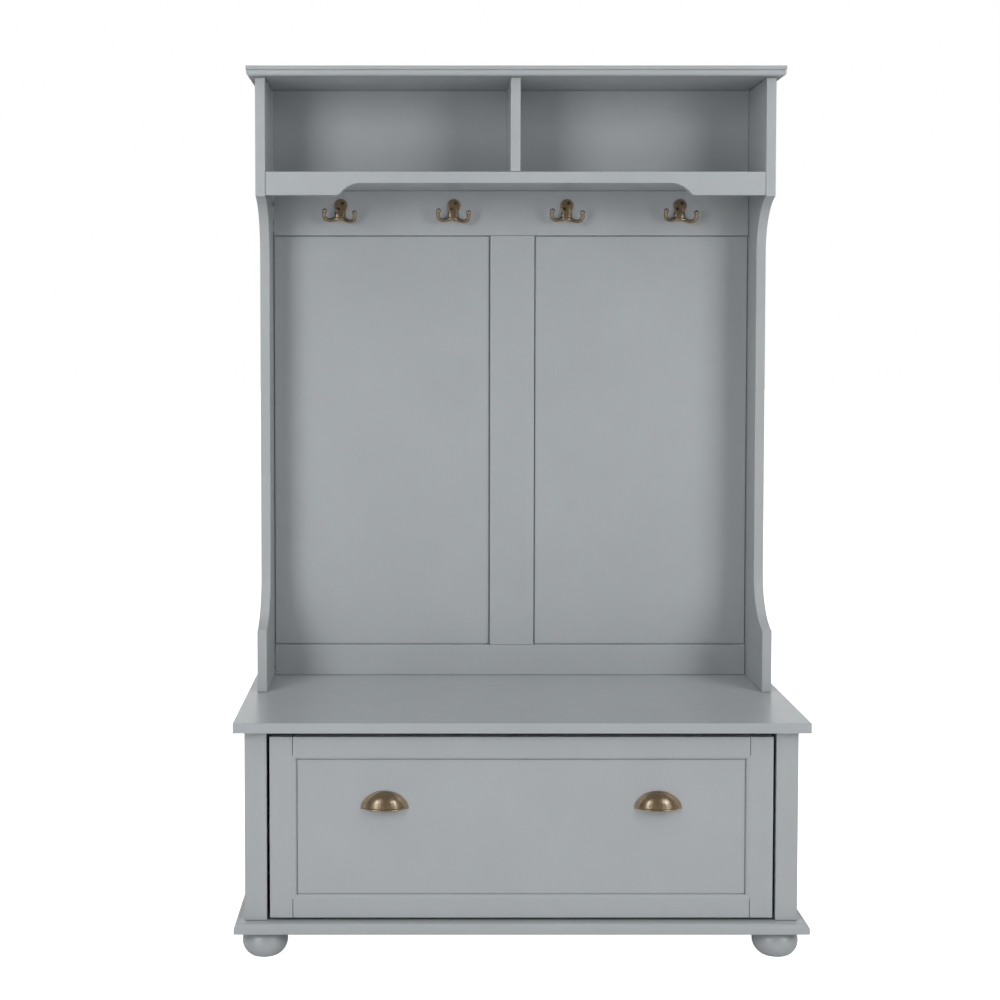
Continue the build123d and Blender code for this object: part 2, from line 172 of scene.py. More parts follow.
# Steamed beech rod: pale pink-brown with short dark flecks along the grain.
def beechDowel():
    fleck = {"width": 1.2 * mm, "lengthening": (0.15, 1, 1)}
    material, tree = newMaterial("beechDowelRod")
    coords = addNode(tree, "ShaderNodeTexCoord", {}, "Object")
    grain = addNode(tree, "ShaderNodeMapping", {"Vector": coords, "Scale": fleck["lengthening"]})
    flecks = addNode(tree, "ShaderNodeTexNoise", {"Vector": grain, "Scale": 1 / fleck["width"], "Detail": 3})
    tone = addNode(tree, "ShaderNodeMapRange", {"Value": flecks, **noiseRange})
    colour = addNode(tree, "ShaderNodeMix", {
        0: tone, 6: linearColour("#A9825A"), 7: linearColour("#D2B08A")}, 2, data_type="RGBA")
    bump = addNode(tree, "ShaderNodeBump", {"Height": flecks, "Strength": 0.3, "Distance": 0.05 * mm})
    surface = addNode(tree, "ShaderNodeBsdfPrincipled", {
        "Base Color": colour, "Roughness": 0.6, "Normal": bump})
    addNode(tree, "ShaderNodeOutputMaterial", {"Surface": surface})
    return material


finishes = {
    "grey_paint": satinLacquer("greySatinLacquer", "#979B9D", "#93979A", 0.28, 0.32, 0.012 * mm),
    # printed melamine foil on the drawer box: paler than the lacquer and flatter in sheen
    "drawer_box_board": satinLacquer("greyMelamineFoil", "#C3C6C6", "#BABDBE", 0.40, 0.50, 0.02 * mm),
    # primer alone on boards that stay hidden: the same grey with next to no sheen
    "inner_board": satinLacquer("mattPrimedBoard", "#969B9E", "#8D9295", 0.58, 0.68, 0.05 * mm),
    "antique_brass": antiqueBrass(),
    # steel screws blackened and oiled to match the brass: dark brown with a dull shine
    "bronzed_screw": platedSteel("bronzedScrewSteel", "#5A4A38", "#33291F", 0.42, 0.5 * mm, (1, 1, 1)),
    # bright zinc on turned screws and bolts: near white metal, slightly cloudy
    "zinc_screw": platedSteel("brightZincScrewSteel", "#C9C9C2", "#B2B2AB", 0.30, 0.4 * mm, (1, 1, 1)),
    # zinc on cold-rolled channel: rolling lines run along the slide
    "slide_steel": platedSteel("rolledZincSlideSteel", "#C4C6C8", "#AFB1B4", 0.34, 0.5 * mm, (1, 0.03, 1)),
    "beech_dowel": beechDowel(),
}
print("materials made:", len(finishes))


# turns a bmesh into a piece that stands in for CAD nodes: it rides on their body, takes the finish of their
# slot and hides them
def makePiece(name, mesh, *nodes, sharp=32):
    bmesh.ops.remove_doubles(mesh, verts=mesh.verts, dist=0.001 * mm)
    bmesh.ops.recalc_face_normals(mesh, faces=mesh.faces)
    data = bpy.data.meshes.new(name)
    mesh.to_mesh(data)
    mesh.free()
    piece = bpy.data.objects.new(name, data)
    scene.collection.objects.link(piece)
    data.materials.append(finishes[slotOf[nodes[0]]])
    data.shade_smooth()
    data.set_sharp_from_angle(angle=math.radians(sharp))
    weighted = piece.modifiers.new("weightedNormals", "WEIGHTED_NORMAL")
    weighted.keep_sharp = True
    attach(piece, frame["nodes"][nodes[0]]["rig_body"])
    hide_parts(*nodes)
    return piece


def easeEdges(mesh, edges, radius, segments=3):
    bmesh.ops.bevel(mesh, geom=edges, offset=radius, offset_type="OFFSET", segments=segments,
                    profile=0.5, affect="EDGES", material=-1)


def sharpEdges(mesh, least=40):
    return [e for e in mesh.edges if e.is_manifold and e.calc_face_angle() > math.radians(least)]


# scales and moves vertices so that together they reach from low to high
def fitTo(mesh, verts, low, high):
    oldLow = Vector([min(v.co[i] for v in verts) for i in range(3)])
    oldSize = Vector([max(v.co[i] for v in verts) for i in range(3)]) - oldLow
    factors = [(high[i] - low[i]) / oldSize[i] if oldSize[i] > 0 else 1 for i in range(3)]
    bmesh.ops.scale(mesh, vec=factors, verts=verts, space=Matrix.Translation(-oldLow))
    bmesh.ops.translate(mesh, vec=Vector(low) - oldLow, verts=verts)


def boardMesh(low, high, radius, segments=3):
    mesh = bmesh.new()
    bmesh.ops.create_cube(mesh, size=1)
    fitTo(mesh, mesh.verts[:], low, high)
    easeEdges(mesh, mesh.edges[:], radius, segments)
    return mesh


# draws lines and arcs from point to point in one plane, then fills the outline
def outlineFace(mesh, start, moves):
    vert = mesh.verts.new(start)
    for kind, *values in moves:
        if kind == "line":
            nextVert = mesh.verts.new(values[0])
            mesh.edges.new((vert, nextVert))
        else:
            centre, axis, angle, steps = values
            arc = bmesh.ops.spin(mesh, geom=[vert], cent=centre, axis=axis, angle=angle, steps=steps)
            nextVert = [g for g in arc["geom_last"] if isinstance(g, bmesh.types.BMVert)][0]
        vert = nextVert
    bmesh.ops.remove_doubles(mesh, verts=mesh.verts, dist=0.01 * mm)
    return bmesh.ops.contextual_create(mesh, geom=mesh.edges[:])["faces"][0]


def thicken(mesh, face, reach):
    grown = bmesh.ops.extrude_face_region(mesh, geom=[face])
    moved = [g for g in grown["geom"] if isinstance(g, bmesh.types.BMVert)]
    bmesh.ops.translate(mesh, vec=reach, verts=moved)
    bmesh.ops.recalc_face_normals(mesh, faces=mesh.faces)


# Plain boards. A gap, in millimetres, is left at a joint so that it shows as a fine dark line.
# gapLow and gapHigh are taken off the board's low and high ends along X, Y and Z.
boards = {
    "base_post_left": {"gapLow": (0, 0, 0.5), "gapHigh": (0, 0, 0.3), "round": 1.4},
    "base_post_right": {"gapLow": (0, 0, 0.5), "gapHigh": (0, 0, 0.3), "round": 1.4},
    "base_side_left": {"gapLow": (0, 0.4, 0.5), "gapHigh": (0, 0, 0.3), "round": 0.8},
    "base_side_right": {"gapLow": (0, 0.4, 0.5), "gapHigh": (0, 0, 0.3), "round": 0.8},
    "slide_batten_left": {"round": 1.0},
    "slide_batten_right": {"round": 1.0},
    "base_back_panel": {"gapLow": (0.6, 0, 0.5), "gapHigh": (0.6, 0, 0.5), "round": 0.4},
    "bench_stretcher_front": {"gapLow": (0.5, 0, 0), "gapHigh": (0.5, 0, 0.2), "round": 1.0},
    "bench_stretcher_back": {"gapLow": (0.5, 0, 0), "gapHigh": (0.5, 0, 0.2), "round": 1.0},
    "bench_top": {"round": 1.2, "segments": 4},
    "shelf": {"gapLow": (0.3, 0.2, 0), "gapHigh": (0.3, 0, 0), "round": 0.8},
    "cubby_divider": {"gapLow": (0, 0, 0.5), "gapHigh": (0, 0.3, 0.5), "round": 1.2},
    "cubby_back_panel": {"gapLow": (0.8, 0, 0.3), "gapHigh": (0.8, 0, 0.3), "round": 0.5},
    "hook_rail": {"gapLow": (1.2, 0, 0), "gapHigh": (1.2, 0, 0.3), "round": 1.0},
    "bottom_rail": {"gapLow": (1.2, 0, 0.5), "gapHigh": (1.2, 0, 0), "round": 1.0},
    "centre_stile": {"gapLow": (0, 0, 0.4), "gapHigh": (0, 0, 0.4), "round": 0.8},
    "drawer_side_left": {"round": 1.0},
    "drawer_side_right": {"round": 1.0},
    "drawer_back": {"gapLow": (0.3, 0, 0.2), "gapHigh": (0.3, 0, 0), "round": 1.0},
    "drawer_box_front": {"gapLow": (0.3, 0.2, 0.2), "gapHigh": (0.3, 0, 0), "round": 1.0},
    "drawer_bottom": {"round": 0.4},
}


def camelName(node):
    first, *rest = node.split("_")
    return first + "".join(word.capitalize() for word in rest) + "Wood"


for node, board in boards.items():
    low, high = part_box(node)
    low = low + Vector(board.get("gapLow", (0, 0, 0))) * mm
    high = high - Vector(board.get("gapHigh", (0, 0, 0))) * mm
    makePiece(camelName(node), boardMesh(low, high, board["round"] * mm, board.get("segments", 3)), node)
print("boards made:", len(boards))


# Slabs whose front and ends carry a moulding that is mitred at the corners; the back is cut square.
# The moulding is drawn from the underside up, as (inset, height) points.
def mouldedSlab(low, high, moulding):
    mesh = bmesh.new()
    bmesh.ops.create_grid(mesh, x_segments=1, y_segments=1, size=0.5)
    ring, verts = mesh.edges[:], mesh.verts[:]
    for step, (inset, height) in enumerate(moulding):
        if step:
            grown = bmesh.ops.extrude_edge_only(mesh, edges=ring)["geom"]
            ring = [g for g in grown if isinstance(g, bmesh.types.BMEdge)]
            verts = [g for g in grown if isinstance(g, bmesh.types.BMVert)]
        level = low.z + height
        fitTo(mesh, verts, (low.x + inset, low.y + inset, level), (high.x - inset, high.y, level))
    bmesh.ops.edgeloop_fill(mesh, edges=ring)
    return mesh


# points of a quarter round from one angle to another, about a centre in the moulding's own plane
def quarterRound(centre, radius, fromAngle, toAngle, steps):
    angles = [math.radians(fromAngle + (toAngle - fromAngle) * i / steps) for i in range(steps + 1)]
    return [(centre[0] + radius * math.cos(a), centre[1] + radius * math.sin(a)) for a in angles]


plinth = {"topRound": 9 * mm, "bottomEase": 1 * mm}
low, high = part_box("plinth_board")
thickness = high.z - low.z
plinthMoulding = [(plinth["bottomEase"], 0), (0, plinth["bottomEase"])] + quarterRound(
    (plinth["topRound"], thickness - plinth["topRound"]), plinth["topRound"], 180, 90, 12)
makePiece("plinthBoardMoulded", mouldedSlab(low, high, plinthMoulding), "plinth_board")

cornice = {"ovolo": 5.4 * mm, "ovoloInset": 1 * mm, "quirkInset": 2.1 * mm, "quirkLow": 9.8 * mm,
           "quirkHigh": 11.6 * mm, "fasciaEase": 0.8 * mm}
low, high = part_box("top_board")
thickness, ease = high.z - low.z, cornice["fasciaEase"]
corniceMoulding = quarterRound((cornice["ovoloInset"] + cornice["ovolo"], cornice["ovolo"]),
                               cornice["ovolo"], 270, 180, 12)
corniceMoulding += [(cornice["ovoloInset"], cornice["quirkLow"]),
                    (cornice["quirkInset"], cornice["quirkLow"]),
                    (cornice["quirkInset"], cornice["quirkHigh"]), (ease * 0.5, cornice["quirkHigh"])]
corniceMoulding += quarterRound((ease * 0.5, cornice["quirkHigh"] + ease * 0.5), ease * 0.5, 270, 180, 3)[1:]
corniceMoulding += quarterRound((ease, thickness - ease), ease, 180, 90, 4)
makePiece("topBoardCornice", mouldedSlab(low, high, corniceMoulding), "top_board")
print("moulded slabs made")

# Side boards of the upper unit: a deep foot and top, joined to a narrow waist by hollow curves
sideBoard = {"waist": 111.5 * mm, "curveRadius": 99.2 * mm, "lowCorner": 535 * mm, "highCorner": 1345 * mm,
             "gap": 0.5 * mm, "round": 1.3 * mm, "steps": 24}
for side in ("left", "right"):
    low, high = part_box(f"upper_side_{side}")
    inward = sideBoard["curveRadius"] - (sideBoard["waist"] - low.y)
    rise = math.sqrt(sideBoard["curveRadius"] ** 2 - inward ** 2)
    turn = math.atan2(rise, inward)
    curveY = sideBoard["waist"] - sideBoard["curveRadius"]
    bottom, top = low.z + sideBoard["gap"], high.z - sideBoard["gap"]
    mesh = bmesh.new()
    face = outlineFace(mesh, (low.x, low.y, bottom), [
        ("line", (low.x, low.y, sideBoard["lowCorner"])),
        ("arc", (low.x, curveY, sideBoard["lowCorner"] + rise), (1, 0, 0), turn, sideBoard["steps"]),
        ("line", (low.x, sideBoard["waist"], sideBoard["highCorner"] - rise)),
        ("arc", (low.x, curveY, sideBoard["highCorner"] - rise), (1, 0, 0), turn, sideBoard["steps"]),
        ("line", (low.x, low.y, top)), ("line", (low.x, high.y, top)), ("line", (low.x, high.y, bottom)),
        ("line", (low.x, low.y, bottom))])
    thicken(mesh, face, (high.x - low.x, 0, 0))
    easeEdges(mesh, sharpEdges(mesh), sideBoard["round"])
    makePiece(f"upperSide{side.capitalize()}Board", mesh, f"upper_side_{side}")

# Apron under the cubbies: low ends that sweep up to the height of the shelf
apron = {"flatHalf": 287 * mm, "radius": 48 * mm, "cornerCut": 4.4 * mm, "gap": 0.7 * mm, "round": 1.2 * mm,
         "steps": 14}
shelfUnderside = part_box("shelf")[0].z
low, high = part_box("apron")
left, right = low.x + apron["gap"], high.x - apron["gap"]
turn = math.acos(1 - (shelfUnderside - low.z) / apron["radius"])
arcLevel = shelfUnderside - apron["radius"]
lowHalf = apron["flatHalf"] + apron["radius"] * math.sin(turn)
mesh = bmesh.new()
face = outlineFace(mesh, (left, low.y, high.z), [
    ("line", (left, low.y, low.z)), ("line", (-lowHalf, low.y, low.z)),
    ("arc", (-apron["flatHalf"], low.y, arcLevel), (0, 1, 0), turn, apron["steps"]),
    ("line", (apron["flatHalf"], low.y, shelfUnderside)),
    ("arc", (apron["flatHalf"], low.y, arcLevel), (0, 1, 0), turn, apron["steps"]),
    ("line", (right, low.y, low.z)), ("line", (right, low.y, high.z)), ("line", (left, low.y, high.z))])
corners = [v for v in mesh.verts if abs(abs(v.co.x) - lowHalf) < 0.1 * mm and abs(v.co.z - low.z) < 0.1 * mm]
bmesh.ops.bevel(mesh, geom=corners, offset=apron["cornerCut"], offset_type="OFFSET", segments=6, profile=0.5,
                affect="VERTICES", material=-1)
thicken(mesh, mesh.faces[:][0], (0, high.y - low.y, 0))
easeEdges(mesh, sharpEdges(mesh), apron["round"])
makePiece("apronBoard", mesh, "apron")
print("side boards and apron made")


# Thin panels held in grooves: a flat field that stops short of the frame, with a fine channel round it
panels = {
    "back_panel_left": {"channel": 1.9, "channelDepth": 3.0, "ease": 0.6},
    "back_panel_right": {"channel": 1.9, "channelDepth": 3.0, "ease": 0.6},
    "drawer_panel": {"channel": 1.0, "channelDepth": 1.2, "ease": 0.4},
}
stileLow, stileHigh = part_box("centre_stile")
leftStile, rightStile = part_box("drawer_stile_left"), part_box("drawer_stile_right")
seenAreas = {
    "back_panel_left": (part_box("back_panel_left")[0].x, stileLow.z, stileLow.x, stileHigh.z),
    "back_panel_right": (stileHigh.x, stileLow.z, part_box("back_panel_right")[1].x, stileHigh.z),
    "drawer_panel": (leftStile[1].x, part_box("drawer_rail_bottom")[1].z, rightStile[0].x,
                     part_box("drawer_rail_top")[0].z),
}
for node, panel in panels.items():
    low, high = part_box(node)
    channel, channelDepth = panel["channel"] * mm, panel["channelDepth"] * mm
    seenLeft, seenLow, seenRight, seenHigh = seenAreas[node]
    mesh = bmesh.new()
    bmesh.ops.create_cube(mesh, size=1)
    fitTo(mesh, mesh.verts[:], low + Vector((0, channelDepth, 0)), high)
    field = min(mesh.faces, key=lambda f: f.calc_center_median().y)
    bmesh.ops.inset_region(mesh, faces=[field], thickness=channel)
    fitTo(mesh, field.verts[:], (seenLeft + channel, low.y + channelDepth, seenLow + channel),
          (seenRight - channel, low.y + channelDepth, seenHigh - channel))
    field = bmesh.ops.extrude_discrete_faces(mesh, faces=[field])["faces"][0]
    bmesh.ops.translate(mesh, vec=(0, -channelDepth, 0), verts=field.verts[:])
    easeEdges(mesh, field.edges[:], panel["ease"] * mm)
    makePiece(camelName(node), mesh, node)

# Drawer front frame: flat members with a shallow bead on the inner edge, mitred at the corners
drawerFrame = {"bead": 7.5 * mm, "beadDepth": 4.6 * mm, "stileFlat": 39.5 * mm, "topFlat": 32.5 * mm,
               "bottomFlat": 32.5 * mm, "jointGap": 0.9 * mm, "ease": 0.5 * mm, "beadSteps": 8}
bead = drawerFrame["bead"]
outerLow = Vector((leftStile[0].x, leftStile[0].y, leftStile[0].z))
outerHigh = rightStile[1]
innerLow = (outerLow.x + drawerFrame["stileFlat"], outerLow.z + drawerFrame["bottomFlat"])
innerHigh = (outerHigh.x - drawerFrame["stileFlat"], outerHigh.z - drawerFrame["topFlat"])


def frameMember(name, node, outline, isBeadEdge):
    thickness = outerHigh.y - outerLow.y
    deepening = bead / drawerFrame["beadDepth"]
    mesh = bmesh.new()
    moves = [("line", (x, outerLow.y, z)) for x, z in outline[1:] + outline[:1]]
    face = outlineFace(mesh, (outline[0][0], outerLow.y, outline[0][1]), moves)
    # the bead is cut as a true quarter round in a thicker board, which is then squeezed to its real depth
    thicken(mesh, face, (0, thickness * deepening, 0))
    beadEdges = [e for e in mesh.edges if isBeadEdge((e.verts[0].co + e.verts[1].co) / 2)
                 and abs(e.verts[0].co.y - outerLow.y) + abs(e.verts[1].co.y - outerLow.y) < 0.01 * mm]
    easeEdges(mesh, beadEdges, bead - 0.1 * mm, drawerFrame["beadSteps"])
    bmesh.ops.scale(mesh, vec=(1, 1 / deepening, 1), verts=mesh.verts,
                    space=Matrix.Translation((0, -outerLow.y, 0)))
    arrises = [e for e in sharpEdges(mesh, 60) if max(v.co.y for v in e.verts) - outerLow.y < 0.01 * mm]
    easeEdges(mesh, arrises, drawerFrame["ease"])
    makePiece(name, mesh, node)


for sign, side in ((-1, "left"), (1, "right")):
    edge, flat = outerHigh.x, innerHigh[0]
    outline = [(sign * x, z) for x, z in (
        (edge, outerLow.z), (flat, outerLow.z), (flat, innerLow[1]), (flat - bead, innerLow[1] + bead),
        (flat - bead, innerHigh[1] - bead), (flat, innerHigh[1]), (flat, outerHigh.z), (edge, outerHigh.z))]
    frameMember(f"drawerStile{side.capitalize()}Beaded", f"drawer_stile_{side}", outline,
                lambda middle: abs(abs(middle.x) - (flat - bead)) < 0.1 * mm)
# a fine gap shows beside the flat of each rail, and closes where the bead is mitred
flat = innerHigh[0]
reach = flat - drawerFrame["jointGap"]
for side, outerZ, flatZ, inward in (("top", outerHigh.z, innerHigh[1], -1),
                                    ("bottom", outerLow.z, innerLow[1], 1)):
    mitreZ, beadZ = flatZ + inward * drawerFrame["jointGap"], flatZ + inward * bead
    outline = [(-reach, outerZ), (reach, outerZ), (reach, mitreZ), (flat - bead, beadZ), (bead - flat, beadZ),
               (-reach, mitreZ)]
    frameMember(f"drawerRail{side.capitalize()}Beaded", f"drawer_rail_{side}", outline,
                lambda middle: abs(middle.z - beadZ) < 0.1 * mm)
print("panels and drawer frame made")

# Bun feet: a flattened ball under a short neck, turned in one piece
foot = {"ballCentre": (12.22 * mm, 23.53 * mm), "flatRadius": 27 * mm, "neckStart": (31 * mm, 44 * mm),
        "arcSteps": 22, "turnSteps": 72}
for corner in ("front_left", "front_right", "back_left", "back_right"):
    low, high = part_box(f"foot_{corner}")
    middle = Vector(((low.x + high.x) / 2, (low.y + high.y) / 2, low.z))
    ballX, ballZ = foot["ballCentre"]
    neckX, neckZ = foot["neckStart"]
    sweep = math.atan2(neckZ - ballZ, neckX - ballX) + math.atan2(ballZ, foot["flatRadius"] - ballX)
    mesh = bmesh.new()
    axisBottom, rim = mesh.verts.new((0, 0, 0)), mesh.verts.new((foot["flatRadius"], 0, 0))
    mesh.edges.new((axisBottom, rim))
    arc = bmesh.ops.spin(mesh, geom=[rim], cent=(ballX, 0, ballZ), axis=(0, 1, 0), angle=-sweep,
                         steps=foot["arcSteps"])
    neck = [g for g in arc["geom_last"] if isinstance(g, bmesh.types.BMVert)][0]
    collar, axisTop = mesh.verts.new((neckX, 0, high.z - low.z)), mesh.verts.new((0, 0, high.z - low.z))
    mesh.edges.new((neck, collar))
    mesh.edges.new((collar, axisTop))
    bmesh.ops.spin(mesh, geom=mesh.verts[:] + mesh.edges[:], cent=(0, 0, 0), axis=(0, 0, 1), angle=math.tau,
                   steps=foot["turnSteps"], use_merge=True)
    bmesh.ops.translate(mesh, vec=middle, verts=mesh.verts)
    makePiece("bunFoot" + "".join(word.capitalize() for word in corner.split("_")), mesh, f"foot_{corner}")
print("feet made")


# melts overlapping closed shapes into one skin and softens it, as a casting comes from its mould
def castSkin(mesh, voxel, passes):
    bmesh.ops.recalc_face_normals(mesh, faces=mesh.faces)
    data = bpy.data.meshes.new("mould")
    mesh.to_mesh(data)
    mesh.free()
    holder = bpy.data.objects.new("mould", data)
    scene.collection.objects.link(holder)
    remesh = holder.modifiers.new("skin", "REMESH")
    remesh.mode = "VOXEL"
    remesh.voxel_size = voxel
    skin = bmesh.new()
    skin.from_mesh(holder.evaluated_get(bpy.context.evaluated_depsgraph_get()).to_mesh())
    bpy.data.objects.remove(holder)
    for _ in range(passes):
        bmesh.ops.smooth_vert(skin, verts=skin.verts, factor=0.5,
                              use_axis_x=True, use_axis_y=True, use_axis_z=True)
    return skin


# a round bar along a smooth path, with its own radius at each point
def taperedBar(mesh, points, radii):
    line = bpy.data.curves.new("bar", "CURVE")
    line.dimensions = "3D"
    line.bevel_depth = 1
    line.bevel_resolution = 6
    line.use_fill_caps = True
    spline = line.splines.new("NURBS")
    spline.points.add(len(points) - 1)
    for point, place, radius in zip(spline.points, points, radii):
        point.co = (*place, 1)
        point.radius = radius
    spline.use_endpoint_u = True
    spline.order_u = 3
    spline.resolution_u = 10
    holder = bpy.data.objects.new("bar", line)
    scene.collection.objects.link(holder)
    mesh.from_mesh(holder.evaluated_get(bpy.context.evaluated_depsgraph_get()).to_mesh())
    bpy.data.objects.remove(holder)


def addBall(mesh, centre, radii):
    ball = bmesh.ops.create_uvsphere(mesh, u_segments=32, v_segments=20, radius=1)["verts"]
    bmesh.ops.scale(mesh, vec=radii, verts=ball)
    bmesh.ops.translate(mesh, vec=centre, verts=ball)
    return ball


# a disc facing -Y with an eased rim
def addDisc(mesh, centre, radii, thickness, ease):
    disc = bmesh.ops.create_cone(mesh, cap_ends=True, segments=48, radius1=1, radius2=1, depth=1,
                                 matrix=Matrix.Rotation(math.pi / 2, 4, "X"))["verts"]
    bmesh.ops.scale(mesh, vec=(radii[0], thickness, radii[1]), verts=disc)
    bmesh.ops.translate(mesh, vec=centre, verts=disc)
    front = [e for e in {e for v in disc for e in v.link_edges}
             if all(v.co.y < centre[1] - thickness * 0.49 for v in e.verts)]
    easeEdges(mesh, front, ease, 4)


# Double coat hooks: a waisted plate with two tapering prongs that curl out and up to small balls.
# Points are in millimetres from the plate's middle, on the face of the rail.
hook = {"prong": ((4, -1.2, -13), (11, -3.8, -15.6), (19, -11, -18.8), (28, -18.5, -17), (30.6, -23.5, -9),
                  (29, -25, -1.8)),
        "prongRadii": (3.8, 3.6, 3.8, 3.9, 3.8, 3.9), "tipRadius": 4.9, "topRadius": 12.8, "topHeight": 11.6,
        "bottomRadius": 8.6, "bottomHeight": -7.4, "waist": 9.6,
        "plate": 3.4, "plateEase": 1.6, "waistEase": 1.4,
        "tongue": ((0, -3.8, -8), (8.8, 2.0, 11)), "crown": ((0, -2.4, 2), (8.6, 1.8, 16)),
        "lean": 3.7, "rise": 24.6, "voxel": 0.45, "softening": 3,
        "screws": ((4.0, 16.0), (-3.9, 5.0)), "screwRadius": 3.2, "screwStand": 1.1,
        "firstTurn": 20, "nextTurn": 37}
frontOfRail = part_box("hook_rail")[0].y
hookPlaces = []
for number in range(1, 5):
    low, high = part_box(f"coat_hook_{number}")
    hookPlaces.append(Vector(((low.x + high.x) / 2, frontOfRail, high.z - hook["rise"] * mm)))


def hookMesh():
    mesh = bmesh.new()
    top, bottom = hook["topHeight"], hook["bottomHeight"]
    plate = hook["plate"]
    # the plate is made 1 mm too thick and cut flush at the back once the parts are one skin
    addDisc(mesh, (0, -plate / 2 + 0.5, top), (hook["topRadius"],) * 2, plate + 1, hook["plateEase"])
    addDisc(mesh, (0, -plate / 2 + 0.5, bottom), (hook["bottomRadius"],) * 2, plate + 1, hook["plateEase"])
    waist = bmesh.ops.create_cube(mesh, size=1)["verts"]
    fitTo(mesh, waist, (-hook["waist"], -plate, bottom), (hook["waist"], 1, top))
    upright = [e for e in {e for v in waist for e in v.link_edges}
               if all(v.co.y < 0 for v in e.verts) and abs(e.verts[0].co.x - e.verts[1].co.x) < 0.1]
    easeEdges(mesh, upright, hook["waistEase"], 4)
    addBall(mesh, *hook["tongue"])
    addBall(mesh, *hook["crown"])
    for side in (-1, 1):
        taperedBar(mesh, [(side * x, y, z) for x, y, z in hook["prong"]], hook["prongRadii"])
        x, y, z = hook["prong"][-1]
        addBall(mesh, (side * x, y, z), (hook["tipRadius"],) * 3)
    skin = castSkin(mesh, hook["voxel"], hook["softening"])
    cut = bmesh.ops.bisect_plane(skin, geom=skin.verts[:] + skin.edges[:] + skin.faces[:], plane_co=(0, 0, 0),
                                 plane_no=(0, 1, 0), clear_outer=True)
    bmesh.ops.edgeloop_fill(skin, edges=[g for g in cut["geom_cut"] if isinstance(g, bmesh.types.BMEdge)])
    bmesh.ops.rotate(skin, cent=(0, 0, 0), matrix=Matrix.Rotation(math.radians(hook["lean"]), 3, "Y"),
                     verts=skin.verts)
    bmesh.ops.scale(skin, vec=(mm, mm, mm), verts=skin.verts)
    return skin


# A countersunk head with a cross recess, facing -Y, its rim level with the origin. Sizes are shares of its
# radius; the rim grows by each factor in turn and drops by the share beside it: domed face, edge, cone.
screwShape = {"dome": 0.18, "arm": 0.13, "armLength": 0.52, "flat": 0.72, "recess": 0.4, "recessTaper": 0.55,
              "rimSteps": ((1.3, 0.063), (1.068, 0.167), (0.55, 0.5))}


def screwHead(mesh, place, radius, facing):
    head = bmesh.new()
    dome, arm, length = (radius * screwShape[size] for size in ("dome", "arm", "armLength"))
    points = [(length, arm), (arm, arm), (arm, length), (-arm, length), (-arm, arm), (-length, arm),
              (-length, -arm), (-arm, -arm), (-arm, -length), (arm, -length), (arm, -arm), (length, -arm)]
    cross = [head.verts.new((x, -dome, z)) for x, z in points]
    crossEdges = [head.edges.new((a, b)) for a, b in zip(cross, cross[1:] + cross[:1])]
    rim = bmesh.ops.create_circle(head, cap_ends=False, segments=24, radius=radius * screwShape["flat"],
                                  matrix=Matrix.Rotation(math.pi / 2, 4, "X"))["verts"]
    bmesh.ops.translate(head, vec=(0, -dome, 0), verts=rim)
    rimEdges = list({e for v in rim for e in v.link_edges})
    bmesh.ops.bridge_loops(head, edges=crossEdges + rimEdges)
    for growth, sink in screwShape["rimSteps"]:
        grown = bmesh.ops.extrude_edge_only(head, edges=rimEdges)["geom"]
        rimEdges = [g for g in grown if isinstance(g, bmesh.types.BMEdge)]
        rim = [g for g in grown if isinstance(g, bmesh.types.BMVert)]
        bmesh.ops.scale(head, vec=(growth, 1, growth), verts=rim)
        bmesh.ops.translate(head, vec=(0, radius * sink, 0), verts=rim)
    bmesh.ops.edgeloop_fill(head, edges=rimEdges)
    grown = bmesh.ops.extrude_edge_only(head, edges=crossEdges)["geom"]
    bottom = [g for g in grown if isinstance(g, bmesh.types.BMVert)]
    bmesh.ops.scale(head, vec=(screwShape["recessTaper"], 1, screwShape["recessTaper"]), verts=bottom)
    bmesh.ops.translate(head, vec=(0, radius * screwShape["recess"], 0), verts=bottom)
    bmesh.ops.edgeloop_fill(head, edges=[g for g in grown if isinstance(g, bmesh.types.BMEdge)])
    bmesh.ops.rotate(head, cent=(0, 0, 0), matrix=facing, verts=head.verts)
    bmesh.ops.translate(head, vec=place, verts=head.verts)
    loose = bpy.data.meshes.new("head")
    head.to_mesh(loose)
    head.free()
    mesh.from_mesh(loose)
    bpy.data.meshes.remove(loose)


castHook = bpy.data.meshes.new("castHook")
hookMesh().to_mesh(castHook)
screws = bmesh.new()
for number, place in enumerate(hookPlaces, start=1):
    mesh = bmesh.new()
    mesh.from_mesh(castHook)
    bmesh.ops.translate(mesh, vec=place, verts=mesh.verts)
    makePiece(f"coatHook{number}Casting", mesh, f"coat_hook_{number}", sharp=60)
    for screw, (x, z) in enumerate(hook["screws"]):
        turn = hook["firstTurn"] + hook["nextTurn"] * (2 * number + screw)
        screwHead(screws, place + Vector((x, -hook["plate"] - hook["screwStand"], z)) * mm,
                  hook["screwRadius"] * mm, Matrix.Rotation(math.radians(turn), 3, "Y"))
makePiece("hookScrewHeads", screws, "hook_screws")
print("hooks made")

# Cup pulls: half a dome, open below, on a thin flange whose ends stand out as ears, with a rolled lip.
# Sizes are in millimetres from the middle of the open edge, on the face of the drawer panel.
pull = {"dome": (32.6, 19.2, 29.4), "wall": 2.0, "flange": (41.9, 31.8), "flangeInner": (30.5, 27),
        "flangeThickness": 1.8, "lip": 1.9, "lipPath": (33.4, 20.0), "lipSteps": 24,
        "bossRadius": 4.0, "bossReach": 12.0, "bossSpacing": 16.0, "bossHeight": 13.0, "bossEase": 0.5,
        "voxel": 0.5, "softening": 3}


